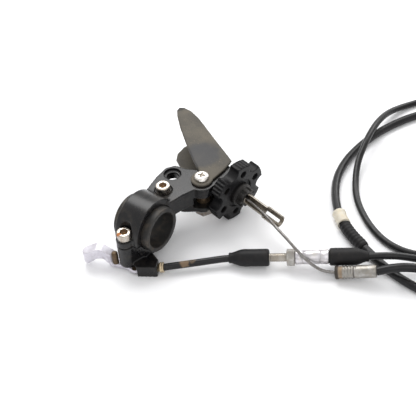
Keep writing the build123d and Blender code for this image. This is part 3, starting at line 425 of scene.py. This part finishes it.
def make_materials(dust):
    """Every finish, by name."""
    made = {}
    made["perch"] = finish("perch_black", coat(
        (0.004, 0.004, 0.005), (0.009, 0.009, 0.009), (0.1, 0.08, 0.06), 0.5, 0.09 * dust, 120, 1500,
        0.28, 0.1), [
        ("Speckle_Mask", speckle(700, 0.3, 0.4), (0.16, 0.13, 0.1), 0.7, 0.0),
        ("Cloud_Mask", cloud(260, 0.3, 0.2, shift=0.7), (0.07, 0.055, 0.042), 0.6, 0.0),
    ], clear=0.3, bump=0.2, depth=0.00012, specular=0.22)
    made["sleeve"] = finish("sleeve_grey", coat(
        (0.008, 0.008, 0.008), (0.02, 0.018, 0.015), (0.1, 0.08, 0.06), 0.6, 0.15 * dust, 140, 1700,
        0.5, 0.12), [
        ("Cloud_Mask", cloud(180, 0.35, 0.35), (0.1, 0.075, 0.05), 0.7, 0.0),
    ], bump=0.25)
    rust = [
        ("Spot_Mask", spot((0, -17.9, 5.1), 2.8, 0.15), (0.27, 0.14, 0.045), 0.7, 0.3),
        ("Spot_Mask", spot((0, 19.7, 11.6), 2.8, 0.15), (0.3, 0.16, 0.055), 0.65, 0.3),
        ("Spot_Mask", spot((-1.2, -20.9, 7.0), 1.7, 0.5), (0.42, 0.15, 0.04), 0.8, 0.0),
        ("Cloud_Mask", cloud(420, 0.3, 0.4), (0.3, 0.19, 0.1), 0.55, 0.6),
    ]
    made["screw"] = finish("screw_chrome", coat(
        (0.46, 0.42, 0.37), (0.64, 0.61, 0.57), (0.22, 0.16, 0.1), 0.6, 0.2 * dust, 300, 2400, 0.24,
        0.16), rust, metallic=1.0)
    made["pivot_screw"] = finish("pivot_screw_chrome", coat(
        (0.78, 0.75, 0.7), (0.9, 0.88, 0.85), (0.35, 0.28, 0.2), 0.6, 0.25 * dust, 300, 2400, 0.26,
        0.14), [
        ("Spot_Mask", spot((14.5, 38.5, 13.2), 2.3, 0.5, 0.6), (0.25, 0.2, 0.14), 0.6, 0.6),
    ], metallic=1.0)
    made["steel"] = finish("steel_dull", coat(
        (0.3, 0.28, 0.26), (0.42, 0.4, 0.38), (0.2, 0.12, 0.07), 0.6, 0.3 * dust, 300, 2000, 0.42,
        0.16), [
        ("Cloud_Mask", cloud(380, 0.35, 0.5), (0.2, 0.1, 0.05), 0.7, 0.4),
    ], metallic=1.0)
    made["bronze"] = finish("bronze_dark", coat(
        (0.11, 0.075, 0.045), (0.22, 0.16, 0.1), (0.2, 0.16, 0.12), 0.6, 0.2 * dust, 500, 3000, 0.45,
        0.15), [
        ("Cloud_Mask", cloud(700, 0.4, 0.5), (0.05, 0.035, 0.025), 0.6, 0.4),
    ], metallic=0.9)
    made["brass"] = finish("brass_aged", coat(
        (0.5, 0.4, 0.26), (0.66, 0.57, 0.42), (0.3, 0.24, 0.17), 0.6, 0.3 * dust, 420, 3000, 0.4,
        0.2), [
        ("Speckle_Mask", speckle(1200, 0.5, 0.8), (0.14, 0.1, 0.06), 0.7, 0.4),
        ("Cloud_Mask", cloud(600, 0.35, 0.5), (0.3, 0.24, 0.16), 0.6, 0.5),
    ], metallic=0.9)
    made["boot"] = finish("boot_rubber", coat(
        (0.056, 0.05, 0.041), (0.088, 0.079, 0.064), (0.19, 0.165, 0.125), 0.7, 0.5 * dust, 90, 1500,
        0.58, 0.12), [
        # Painted reflection: this broad bluish-dark patch near the boot's base, where it wraps round the
        # perch's end, is a dark reflection in that hollow painted into the rubber's colour.
        ("Spot_Mask", spot((3.0, 55.0, 11.5), 13.0, 0.35, 0.6, 160), (0.016, 0.019, 0.027), 0.45, 0.0),
        ("Speckle_Mask", speckle(650, 0.35, 0.6), (0.25, 0.21, 0.16), 0.8, 0.0),
        ("Speckle_Mask", speckle(900, 0.3, 0.6), (0.015, 0.013, 0.012), 0.6, 0.0),
        ("Spot_Mask", spot((-37.0, 86.0, 11.0), 4.0, 0.3, 0.8, 200), (0.014, 0.012, 0.011), 0.5, 0.0),
    ], bump=0.35, depth=0.00015, specular=0.35)
    made["wheel"] = finish("wheel_black", coat(
        (0.004, 0.004, 0.005), (0.01, 0.01, 0.011), (0.08, 0.068, 0.056), 0.6, 0.1 * dust, 200, 1800,
        0.45, 0.12), [
        ("Band_Mask", band(WHEEL_CENTRE, ADJUST_AXIS, 1.0, 8.0, 0.4, 0.5), (0.09, 0.085, 0.08), 0.5, 0.0),
        ("Spot_Mask", spot(WHEEL_CENTRE - Vector((0, 4, 3)), 11.5, 0.25, 0.75, 240),
         (0.008, 0.007, 0.007), 0.45, 0.0),
        ("Speckle_Mask", speckle(900, 0.35, 0.4), (0.15, 0.13, 0.1), 0.7, 0.0),
    ], bump=0.25, specular=0.22)
    made["nickel"] = finish("nickel_dull", coat(
        (0.34, 0.31, 0.27), (0.5, 0.47, 0.43), (0.2, 0.165, 0.12), 0.6, 0.35 * dust, 260, 2400, 0.35,
        0.2), [
        ("Cloud_Mask", cloud(330, 0.4, 0.5, stretch=(0.4, 1, 1)), (0.32, 0.27, 0.2), 0.5, 0.8),
        ("Speckle_Mask", speckle(1000, 0.4, 0.5), (0.12, 0.1, 0.07), 0.6, 0.5),
    ], metallic=1.0)
    made["bright"] = finish("alloy_bright", coat(
        (0.64, 0.62, 0.68), (0.8, 0.78, 0.84), (0.45, 0.4, 0.39), 0.6, 0.25 * dust, 220, 1800, 0.4,
        0.12), [
        ("Cloud_Mask", cloud(260, 0.35, 0.5), (0.4, 0.37, 0.4), 0.45, 0.6),
        ("Speckle_Mask", speckle(900, 0.35, 0.5), (0.25, 0.2, 0.17), 0.6, 0.3),
    ], metallic=0.6)
    made["cable"] = finish("cable_black", coat(
        (0.004, 0.004, 0.005), (0.01, 0.01, 0.01), (0.07, 0.06, 0.05), 0.5, 0.07 * dust, 150, 1600,
        0.33, 0.1), [
        ("Spot_Mask", spot((29.2, -2.6, -15.4), 3.4, 0.5), (0.17, 0.115, 0.07), 0.8, 0.0),
        ("Spot_Mask", spot((32.5, 0.8, -15.0), 2.0, 0.6, 0.7), (0.13, 0.09, 0.055), 0.8, 0.0),
        ("Cloud_Mask", cloud(210, 0.3, 0.2), (0.04, 0.034, 0.028), 0.5, 0.0),
    ], clear=0.2, bump=0.25, specular=0.22,
        lines={"Scale": 260.0, "Slant": (1.0, 1.0, 0.4), "Strength": 1.0})
    made["rubber"] = finish("rubber_black", coat(
        (0.006, 0.006, 0.007), (0.015, 0.014, 0.014), (0.1, 0.08, 0.06), 0.5, 0.12 * dust, 180, 1700,
        0.5, 0.1), [
        ("Speckle_Mask", speckle(800, 0.3, 0.4), (0.1, 0.08, 0.065), 0.8, 0.0),
    ], bump=0.3, specular=0.22)
    made["zinc"] = finish("zinc_aged", coat(
        (0.36, 0.35, 0.33), (0.56, 0.55, 0.53), (0.22, 0.18, 0.13), 0.7, 0.3 * dust, 330, 2400, 0.38,
        0.2), [
        ("Cloud_Mask", cloud(480, 0.42, 0.7), (0.3, 0.27, 0.23), 0.5, 0.8),
        ("Speckle_Mask", speckle(1100, 0.4, 0.7), (0.12, 0.09, 0.06), 0.7, 0.4),
    ], metallic=1.0)
    ferrule_axis = FERRULE_END - FERRULE_START
    made["ferrule"] = finish("ferrule_zinc", coat(
        (0.3, 0.29, 0.27), (0.5, 0.49, 0.48), (0.2, 0.16, 0.11), 0.7, 0.3 * dust, 330, 2400, 0.38,
        0.2), [
        ("Cloud_Mask", cloud(480, 0.4, 0.7), (0.33, 0.3, 0.26), 0.5, 0.8),
        ("Band_Mask", band(FERRULE_START, ferrule_axis, -1.0, 2.0), (0.05, 0.042, 0.035), 0.6, 0.5),
        ("Band_Mask", band(FERRULE_START, ferrule_axis, 2.0, 4.2, 0.5, 0.7), (0.26, 0.17, 0.09), 0.6, 0.5),
        ("Band_Mask", band(FERRULE_START, ferrule_axis, 10.2, 10.9, 0.3, 0.8), (0.05, 0.04, 0.035), 0.6,
         0.4),
    ], metallic=1.0)
    run = BOOT_B_END - BOOT_A_START
    barrel_at = BOOT_A_L + ROD_L + NUT_L
    made["barrel"] = finish("barrel_alloy", coat(
        (0.62, 0.6, 0.62), (0.76, 0.74, 0.78), (0.4, 0.36, 0.3), 0.6, 0.2 * dust, 260, 2000, 0.32,
        0.14), [
        ("Cloud_Mask", cloud(300, 0.35, 0.45), (0.55, 0.5, 0.42), 0.45, 0.8),
        ("Band_Mask", band(BOOT_A_START, run, barrel_at + 4.3, barrel_at + 4.8, 0.2, 0.25),
         (0.1, 0.09, 0.08), 0.5, 0.6),
        ("Band_Mask", band(BOOT_A_START, run, barrel_at + 14.3, barrel_at + 14.8, 0.2, 0.25),
         (0.1, 0.09, 0.08), 0.5, 0.6),
    ], metallic=0.9)
    made["strand"] = finish("strand_steel", coat(
        (0.24, 0.23, 0.22), (0.36, 0.345, 0.335), (0.14, 0.11, 0.085), 0.6, 0.25 * dust, 500, 3000, 0.38,
        0.15), [
        ("Cloud_Mask", cloud(400, 0.35, 0.5), (0.15, 0.13, 0.11), 0.5, 0.8),
    ], metallic=1.0)
    made["white"] = finish("plastic_cream", coat(
        (0.58, 0.54, 0.45), (0.66, 0.63, 0.55), (0.4, 0.3, 0.18), 0.6, 0.4 * dust, 260, 2200, 0.42,
        0.1), [
        ("Cloud_Mask", cloud(420, 0.35, 0.5), (0.6, 0.5, 0.32), 0.5, 0.0),
    ])
    return made


MATERIALS = {}


# ---------------------------------------------------------------- mesh helpers
def dress(obj, material, body="perch", nodes=()):
    """Gives a new piece its material and CAD body, and hides the nodes that it stands for."""
    obj.data.materials.clear()
    obj.data.materials.append(MATERIALS[material])
    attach(obj, body)
    if nodes:
        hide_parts(*nodes)
    return obj


def new_object(name, verts, faces, smooth=True):
    mesh = bpy.data.meshes.new(name)
    mesh.from_pydata([tuple(v) for v in verts], [], faces)
    mesh.update()
    if smooth:
        mesh.shade_smooth()
    obj = bpy.data.objects.new(name, mesh)
    bpy.context.scene.collection.objects.link(obj)
    return obj


def evaluated_copy(obj, name):
    """The object's mesh with its modifiers, as a new object."""
    depsgraph = bpy.context.evaluated_depsgraph_get()
    mesh = bpy.data.meshes.new_from_object(obj.evaluated_get(depsgraph))
    mesh.name = name
    mesh.transform(obj.matrix_world)
    result = bpy.data.objects.new(name, mesh)
    bpy.context.scene.collection.objects.link(result)
    return result


def softened(node, name, voxel, rounds, factor=0.5, warp=None):
    """A copy of a CAD node with rounded, cast-looking edges."""
    source = evaluated_copy(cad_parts[node], name + "_source")
    remesh = source.modifiers.new("grid", "REMESH")
    remesh.mode = "VOXEL"
    remesh.voxel_size = voxel
    relax = source.modifiers.new("relax", "SMOOTH")
    relax.factor = factor
    relax.iterations = rounds
    obj = evaluated_copy(source, name)
    bpy.data.objects.remove(source)
    if warp:
        for vertex in obj.data.vertices:
            vertex.co = warp(vertex.co / MM) * MM
    if not obj.data.polygons:
        raise RuntimeError(f"{name} has no faces after softening")
    obj.data.shade_smooth()
    return obj


def basis_for(direction, hint=Vector((0, 0, 1))):
    normal = direction.normalized()
    side = hint.cross(normal)
    if side.length < 0.01:
        side = Vector((1, 0, 0))
    side.normalize()
    return side, normal.cross(side)


def loft(name, rings, closed_ends=True):
    """A skin over rings of equally many points."""
    verts = [point * MM for ring in rings for point in ring]
    count = len(rings[0])
    faces = []
    for row in range(len(rings) - 1):
        for column in range(count):
            after = (column + 1) % count
            faces.append((row * count + column, row * count + after, (row + 1) * count + after,
                          (row + 1) * count + column))
    if closed_ends:
        faces.append(tuple(reversed(range(count))))
        faces.append(tuple((len(rings) - 1) * count + column for column in range(count)))
    return new_object(name, verts, faces)


def lathe(name, start, direction, profile, segments=40, shape=None, closed_ends=True):
    """A turned piece: profile is (distance, radius) along the direction."""
    normal = direction.normalized()
    side, up = basis_for(direction)
    rings = []
    for distance, radius in profile:
        ring = []
        for step in range(segments):
            angle = 2 * math.pi * step / segments
            reach = radius if shape is None else shape(distance, radius, angle)
            ring.append(start + normal * distance + (side * math.cos(angle) + up * math.sin(angle)) * reach)
        rings.append(ring)
    return loft(name, rings, closed_ends)


def ring_loft(name, path, radii, segments=28, closed_ends=False):
    """A tube of varying radius round a path of points."""
    rings = []
    for index, point in enumerate(path):
        before = path[max(index - 1, 0)]
        after = path[min(index + 1, len(path) - 1)]
        side, up = basis_for(after - before)
        rings.append([
            point + (side * math.cos(2 * math.pi * s / segments) + up * math.sin(2 * math.pi * s / segments))
            * radii[index] for s in range(segments)])
    return loft(name, rings, closed_ends)


# ---------------------------------------------------------------- cords
def cord_curve(name, points, diameter, material, caps=True):
    curve = bpy.data.curves.new(name, "CURVE")
    curve.dimensions = "3D"
    spline = curve.splines.new("NURBS")
    spline.points.add(len(points) - 1)
    for control, point in zip(spline.points, points):
        control.co = (*(Vector(point) * MM), 1.0)
    spline.order_u = 3
    spline.use_endpoint_u = True
    spline.resolution_u = 10
    curve.resolution_u = 10
    curve.bevel_depth = diameter / 2
    curve.bevel_resolution = 5
    curve.use_fill_caps = caps
    obj = bpy.data.objects.new(name, curve)
    bpy.context.scene.collection.objects.link(obj)
    obj.data.materials.append(MATERIALS[material])
    return obj


def centre_points(cord):
    """Points down the middle of a cord, read from its spline, in millimetres."""
    data = cord.data.copy()
    data.bevel_depth = 0.0
    probe = bpy.data.objects.new("probe", data)
    mesh = bpy.data.meshes.new_from_object(probe)
    points = [v.co / MM for v in mesh.vertices]
    bpy.data.objects.remove(probe)
    bpy.data.meshes.remove(mesh)
    bpy.data.curves.remove(data)
    return points


def stretch_of(points, near, before, after, step):
    """The part of a line from before to after the place nearest to a point."""
    distances = [0.0]
    for first, second in zip(points, points[1:]):
        distances.append(distances[-1] + (second - first).length)
    at = distances[min(range(len(points)), key=lambda i: (points[i] - near).length)]
    count = max(2, round((before + after) / step))
    result = []
    for index in range(count + 1):
        target = at - before + (before + after) * index / count
        spot_index = max(i for i, d in enumerate(distances[:-1]) if d <= max(target, 0.0))
        share = (target - distances[spot_index]) / (distances[spot_index + 1] - distances[spot_index])
        result.append(points[spot_index].lerp(points[spot_index + 1], share))
    return result


def smooth_share(value):
    value = min(max(value, 0.0), 1.0)
    return value * value * (3 - 2 * value)


def coil_points(centre, radius, start_deg, turn_deg, floor, diameter, per_turn):
    """Control points of a coil's turns; each turn climbs onto the last in its final quarter."""
    count = round(abs(turn_deg) / 360 * per_turn)
    step = turn_deg / count
    reach = radius / math.cos(math.radians(step) / 2)
    points = []
    for index in range(count):
        swept = abs(step) * (index + 0.5)
        angle = math.radians(start_deg + step * (index + 0.5))
        whole, part = divmod(swept / 360, 1.0)
        height = floor + diameter * (whole + smooth_share((part - 0.75) / 0.25))
        points.append((centre[0] + reach * math.cos(angle), centre[1] + reach * math.sin(angle), height))
    return points


def along_adjuster(distance):
    return WHEEL_CENTRE + ADJUST_AXIS * distance


def path_length(points):
    return sum((b - a).length for a, b in zip(points, points[1:])) * MM


# ---------------------------------------------------------------- operators
class PERCH_OT_stage(bpy.types.Operator):
    """Floor, soft lights and the camera."""
    bl_idname = "perch.stage"
    bl_label = "Stage"

    def execute(self, context):
        settings = context.scene.perch
        size = 3.0
        floor = new_object("floor", [
            Vector((-size, -size, FLOOR_Z * MM)), Vector((size, -size, FLOOR_Z * MM)),
            Vector((size, size, FLOOR_Z * MM)), Vector((-size, size, FLOOR_Z * MM))], [(0, 1, 2, 3)])
        paper = bpy.data.materials.new("floor_paper")
        paper.use_nodes = True
        tree = paper.node_tree
        shader = tree.nodes["Principled BSDF"]
        grain = noise_node(tree, object_coords(tree)["Object"], 40.0, 3.0)
        tone = tuple(settings.floor_color)
        darker = tuple(c * 0.985 for c in tone)
        plug(tree, mix_color(tree, grain, (*tone, 1.0), (*darker, 1.0)), shader.inputs["Base Color"])
        shader.inputs["Roughness"].default_value = 0.9
        shader.inputs["Specular IOR Level"].default_value = 0.1
        floor.data.materials.append(paper)
        world = bpy.data.worlds.new("studio")
        world.use_nodes = True
        world.node_tree.nodes["Background"].inputs["Color"].default_value = (1.0, 1.0, 1.0, 1.0)
        world.node_tree.nodes["Background"].inputs["Strength"].default_value = 0.8
        context.scene.world = world
        lights = [
            ("key", (-0.35, 0.35, 0.75), 0.55, 5.0), ("fill", (0.55, -0.35, 0.6), 0.7, 1.2),
            ("rim", (0.05, 0.75, 0.45), 0.4, 2.0),
        ]
        target = Vector((0.08, 0.07, 0.0))
        for name, place, width, power in lights:
            data = bpy.data.lights.new(name, "AREA")
            data.size = width
            data.energy = power
            lamp = bpy.data.objects.new(name, data)
            lamp.location = place
            lamp.rotation_euler = (target - Vector(place)).to_track_quat("-Z", "Y").to_euler()
            context.scene.collection.objects.link(lamp)
        data = bpy.data.cameras.new("camera")
        data.sensor_width = 36.0
        data.lens = CAMERA_LENS
        data.clip_start = 0.01
        camera = bpy.data.objects.new("camera", data)
        turn = Matrix(CAMERA_AXES).transposed().to_4x4()
        camera.matrix_world = Matrix.Translation(CAMERA_PLACE) @ turn
        context.scene.collection.objects.link(camera)
        context.scene.camera = camera
        context.scene.view_settings.view_transform = "Standard"
        return {"FINISHED"}


class PERCH_OT_castings(bpy.types.Operator):
    """Clamp halves, arm, collar, screws and the small hidden pieces."""
    bl_idname = "perch.castings"
    bl_label = "Castings"

    def execute(self, context):
        voxel = context.scene.perch.voxel
        dress(softened("perch_body", "perch_casting", voxel, 4), "perch", nodes=["perch_body"])
        dress(softened("lower_clamp", "clamp_casting", voxel, 4), "perch", nodes=["lower_clamp"])
        dress(softened("clamp_screws", "socket_screws", voxel * 0.6, 2), "screw", nodes=["clamp_screws"])
        dress(softened("pivot_screw", "pivot_pan_screw", voxel * 0.5, 2), "pivot_screw",
              nodes=["pivot_screw"])
        carried = {
            "bar_sleeve": "sleeve", "pivot_nut": "steel", "pivot_bush": "bronze", "detent_plunger": "steel",
            "detent_spring": "steel", "hot_start_pivot_screw": "steel", "hot_start_pivot_bush": "bronze",
            "hot_start_spring": "steel", "hot_start_nipple": "bronze", "hot_start_lever_wire": "strand",
            "clutch_nipple": "zinc", "hot_start_end_ferrule": "brass", "hot_start_end_wire": "strand",
            "hot_start_end_nipple": "zinc", "clutch_end_ferrule": "zinc", "clutch_end_wire": "strand",
            "clutch_end_nipple": "zinc", "hot_start_peg": "bronze",
        }
        for node, material in carried.items():
            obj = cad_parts[node]
            obj.data.materials.clear()
            obj.data.materials.append(MATERIALS[material])
        return {"FINISHED"}


def boot_warp(point):
    """Crowns the boot's flaps and lets their free edges hang a little."""
    offset = Vector((point.x - PIVOT.x, point.y - PIVOT.y, 0.0))
    along = offset.dot(BOOT_LENGTH)
    side = offset.dot(BOOT_ACROSS)
    rise = smooth_share((along + 2.0) / 14.0)
    crown = math.cos(min(max((side - BOOT_MIDDLE) / BOOT_HALF_WIDTH, -1.2), 1.2)) - 0.72
    if point.z > BOOT_INSIDE_Z:
        tip = smooth_share((along - 42.0) / 22.0)
        return point + Vector((0, 0, rise * (crown * UPPER_CROWN - tip * TIP_DROP)))
    if point.z < -BOOT_INSIDE_Z:
        return point - Vector((0, 0, rise * crown * LOWER_CROWN))
    return point


class PERCH_OT_boot(bpy.types.Operator):
    """Rubber dust boot over the lever pivot."""
    bl_idname = "perch.boot"
    bl_label = "Dust Boot"

    def execute(self, context):
        voxel = context.scene.perch.voxel
        boot = softened("dust_boot", "dust_boot_rubber", voxel * 1.2, 5, warp=boot_warp)
        dress(boot, "boot", "boot", ["dust_boot"])
        return {"FINISHED"}


class PERCH_OT_adjuster(bpy.types.Operator):
    """Adjuster wheel and its slotted tube."""
    bl_idname = "perch.adjuster"
    bl_label = "Adjuster"

    def execute(self, context):
        voxel = context.scene.perch.voxel
        dress(softened("adjuster_wheel", "adjuster_hand_wheel", voxel * 0.65, 2), "wheel", "wheel",
              ["adjuster_wheel"])
        dress(softened("adjuster_tube", "adjuster_slotted_tube", voxel * 0.5, 1), "nickel", "tube",
              ["adjuster_tube"])
        return {"FINISHED"}


class PERCH_OT_thumb_lever(bpy.types.Operator):
    """Cast hot-start lever and the brass seat of its cable."""
    bl_idname = "perch.thumb_lever"
    bl_label = "Thumb Lever"

    def execute(self, context):
        voxel = context.scene.perch.voxel
        dress(softened("hot_start_lever", "thumb_lever_casting", voxel * 0.75, 8), "bright", "thumb_lever",
              ["hot_start_lever"])
        run = SEAT_END - SEAT_START
        seat = lathe("cable_seat_brass", SEAT_START, run, [
            (0.0, 0.8), (0.0, 2.1), (0.2, 2.3), (2.3, 2.3), (2.35, 2.9), (2.6, 3.1), (3.2, 3.1), (3.4, 2.8),
            (3.7, 2.8), (3.9, 3.1), (4.5, 3.1), (run.length, 2.85), (run.length, 0.8)], closed_ends=False)
        dress(seat, "brass", nodes=["hot_start_cable_seat"])
        return {"FINISHED"}


class PERCH_OT_inline_adjuster(bpy.types.Operator):
    """The hot-start cable's own adjuster: two boots, rod, lock nut and barrel."""
    bl_idname = "perch.inline_adjuster"
    bl_label = "Inline Adjuster"

    def execute(self, context):
        run = (BOOT_B_END - BOOT_A_START).normalized()
        boot_profile = [
            (0.0, 2.1), (0.0, 2.9), (0.35, 3.15), (0.9, 3.1), (1.4, 3.05), (3.5, 3.7), (6.0, 4.6),
            (7.4, 4.95),
            (9.0, 5.1), (14.0, 5.05), (19.0, 5.1), (21.8, 5.1), (22.6, 5.0), (23.2, 4.6), (23.4, 3.9),
            (23.4, 2.4)]
        front = lathe("boot_front_rubber", BOOT_A_START, run, boot_profile, closed_ends=False)
        dress(front, "rubber", nodes=["adjuster_boot_front"])
        threads = [(ROD_L * i / 80, 2.42 + 0.08 * math.cos(2 * math.pi * i / 8)) for i in range(81)]
        rod = lathe("threaded_rod", BOOT_A_START + run * BOOT_A_L, run, threads, 32)
        dress(rod, "nickel", nodes=["adjuster_rod"])
        nut = softened("adjuster_locknut", "lock_nut", context.scene.perch.voxel * 0.6, 2)
        dress(nut, "zinc", nodes=["adjuster_locknut"])
        barrel = lathe("adjuster_barrel_alloy", BOOT_A_START + run * (BOOT_A_L + ROD_L + NUT_L), run, [
            (0.0, 3.4), (0.25, 3.85), (0.7, 4.2), (4.3, 4.2), (4.45, 4.0), (4.65, 4.0), (4.8, 4.2),
            (9.5, 4.2),
            (14.3, 4.2), (14.45, 4.0), (14.65, 4.0), (14.8, 4.2), (18.9, 4.2), (19.35, 3.9), (19.6, 3.4)])
        dress(barrel, "barrel", nodes=["adjuster_barrel"])
        rear_l = (BOOT_B_END - BOOT_A_START).length - BOOT_A_L - ROD_L - NUT_L - BARREL_L
        scale = rear_l / 23.4
        profile = [(d * scale, r) for d, r in boot_profile]
        rear = lathe("boot_rear_rubber", BOOT_B_END, -run, profile, closed_ends=False)
        dress(rear, "rubber", nodes=["adjuster_boot_rear"])
        return {"FINISHED"}


class PERCH_OT_clutch_wire(bpy.types.Operator):
    """Twisted inner wire from the adjuster to the ferrule."""
    bl_idname = "perch.clutch_wire"
    bl_label = "Clutch Wire"

    def execute(self, context):
        diameter = context.scene.perch.wire_diameter
        start = along_adjuster(NIPPLE_AT + NIPPLE_R)
        points = [start, along_adjuster(WIRE_BEND), *WIRE_ROUTE, FERRULE_START]
        wire = cord_curve("clutch_wire", points, diameter * 0.9, "strand")
        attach(wire, "perch")
        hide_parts("clutch_inner_wire")
        line = centre_points(wire)
        line = stretch_of(line, line[0], 0.0, path_length(line) / MM - 0.01, 0.45)
        rings = []
        for index, point in enumerate(line):
            before = line[max(index - 1, 0)]
            after = line[min(index + 1, len(line) - 1)]
            side, up = basis_for(after - before)
            rings.append((point, side, up))
        verts, faces = [], []
        strands, sides, reach, thick, pitch = 6, 6, 0.53, 0.4, 9.0
        for strand in range(strands):
            first = len(verts)
            for index, (point, side, up) in enumerate(rings):
                angle = 2 * math.pi * (strand / strands + index * 0.45 / pitch)
                out = side * math.cos(angle) + up * math.sin(angle)
                turn = up * math.cos(angle) - side * math.sin(angle)
                for corner in range(sides):
                    spin = 2 * math.pi * corner / sides
                    verts.append((point + out * (reach + thick * math.cos(spin))
                                  + turn * thick * math.sin(spin)) * MM)
            for row in range(len(rings) - 1):
                for corner in range(sides):
                    a = first + row * sides + corner
                    b = first + row * sides + (corner + 1) % sides
                    faces.append((a, b, b + sides, a + sides))
        twist = new_object("clutch_wire_strands", verts, faces)
        dress(twist, "strand")
        return {"FINISHED"}


def ferrule_shape(distance, radius, angle):
    """Crimp dimples in the ferrule's plain end."""
    dimple = math.exp(-((distance - 15.5) / 1.6) ** 2)
    around = max(0.0, math.cos(2 * (angle - 1.2))) ** 6
    return radius - 0.5 * dimple * around


class PERCH_OT_clutch_cable(bpy.types.Operator):
    """Clutch cable with its ferrule, collar, ribbed sleeve and coil."""
    bl_idname = "perch.clutch_cable"
    bl_label = "Clutch Cable"

    def execute(self, context):
        settings = context.scene.perch
        coil = coil_points(CLUTCH_COIL, CLUTCH_COIL_R, 100.0, -820.0, CLUTCH_FLOOR, 2 * CLUTCH_R,
                           settings.coil_steps)
        points = [*CLUTCH_ROUTE, *coil, *CLUTCH_TAIL]
        cable = cord_curve("clutch_cable_sheath", points, settings.clutch_diameter, "cable")
        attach(cable, "perch")
        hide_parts("clutch_cable", "clutch_coil", "clutch_tail")
        line = centre_points(cable)
        run = FERRULE_END - FERRULE_START
        share = run.length
        profile = [(0.0, 1.1), (0.0, 3.6), (0.25, 3.9), (1.7, 3.9), (2.1, 3.55), (3.6, 3.5)]
        for rib in range(4):
            at = share * (0.16 + rib * 0.075)
            profile += [(at, 3.5), (at + 0.2, 3.85), (at + 0.8, 3.85), (at + 1.0, 3.5)]
        profile += [(11.4, 3.5), (11.8, 3.7), (12.4, 3.78), (20.0, 3.75), (share - 1.0, 3.7),
                    (share - 0.3, 3.45), (share, 2.7)]
        ferrule = lathe("clutch_ferrule_zinc", FERRULE_START, run, profile, 48, ferrule_shape)
        dress(ferrule, "ferrule", nodes=["clutch_ferrule"])
        corner = Vector(CLUTCH_ROUTE[COLLAR_CORNER])
        path = stretch_of(line, corner, 1.0, 9.0, 0.5)
        radii = []
        for index in range(len(path)):
            at = 10.0 * index / (len(path) - 1)
            radii.append(4.2 if at < 2.2 else 3.9 + 0.12 * smooth_share((at - 7.5) / 2.0))
        radii[0] = 3.9
        collar = ring_loft("cable_collar_outer", [path[0], *path, path[-1]], [2.65, *radii, 2.65])
        dress(collar, "white", nodes=["clutch_collar"])
        path = stretch_of(line, Vector(CLUTCH_ROUTE[SLEEVE_CORNER]), 5.5, 15.0, 0.35)
        radii = []
        for index in range(len(path)):
            at = 20.5 * index / (len(path) - 1)
            fold = 0.5 + 0.5 * math.cos(2 * math.pi * at / 2.4)
            radii.append(3.45 + 0.28 * fold ** 0.7 - 0.35 * smooth_share((at - 17.5) / 3.0))
        sleeve = ring_loft("cable_rib_sleeve", [path[0], *path, path[-1]], [2.6, *radii, 2.6])
        dress(sleeve, "rubber", nodes=["clutch_rib_sleeve"])
        return {"FINISHED"}


class PERCH_OT_hot_start_cable(bpy.types.Operator):
    """Hot-start cable from its seat to its end, through the inline adjuster."""
    bl_idname = "perch.hot_start_cable"
    bl_label = "Hot-Start Cable"

    def execute(self, context):
        settings = context.scene.perch
        coil = coil_points(HOT_COIL, HOT_COIL_R, -55.0, 475.0, HOT_FLOOR, 2 * HOT_R, settings.coil_steps)
        run = BOOT_B_END - BOOT_A_START
        through = [tuple(BOOT_A_START + run * share) for share in (0.25, 0.5, 0.75)]
        points = [*HOT_UPPER_ROUTE, *through, *HOT_ROUTE, *coil, *HOT_TAIL]
        cable = cord_curve("hot_start_cable_sheath", points, settings.hot_diameter, "cable")
        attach(cable, "perch")
        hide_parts("hot_start_upper_cable", "hot_start_cable", "hot_start_coil", "hot_start_tail")
        line = centre_points(cable)
        return {"FINISHED"}


class PERCH_PT_panel(bpy.types.Panel):
    """Sizes and build buttons."""
    bl_idname = "PERCH_PT_panel"
    bl_label = "Clutch Perch"
    bl_space_type = "VIEW_3D"
    bl_region_type = "UI"
    bl_category = "Perch"

    def draw(self, context):
        settings = context.scene.perch
        for name in ("dust", "voxel", "clutch_diameter", "hot_diameter", "wire_diameter", "coil_steps",
                     "floor_color"):
            self.layout.prop(settings, name)
        for operator in BUILD_ORDER:
            self.layout.operator(operator.bl_idname)


BUILD_ORDER = (
    PERCH_OT_stage, PERCH_OT_castings, PERCH_OT_boot, PERCH_OT_adjuster, PERCH_OT_thumb_lever,
    PERCH_OT_inline_adjuster, PERCH_OT_clutch_wire, PERCH_OT_clutch_cable, PERCH_OT_hot_start_cable,
)
CLASSES = (PerchSettings, *BUILD_ORDER, PERCH_PT_panel)


def register():
    for cls in CLASSES:
        bpy.utils.register_class(cls)
    bpy.types.Scene.perch = PointerProperty(type=PerchSettings)


def unregister():
    del bpy.types.Scene.perch
    for cls in reversed(CLASSES):
        bpy.utils.unregister_class(cls)


def main():
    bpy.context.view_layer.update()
    register()
    make_effects()
    MATERIALS.update(make_materials(bpy.context.scene.perch.dust))
    bpy.ops.perch.stage()
    bpy.ops.perch.castings()
    bpy.ops.perch.boot()
    bpy.ops.perch.adjuster()
    bpy.ops.perch.thumb_lever()
    bpy.ops.perch.inline_adjuster()
    bpy.ops.perch.clutch_wire()
    bpy.ops.perch.clutch_cable()
    bpy.ops.perch.hot_start_cable()


if __name__ == "__main__":
    main()
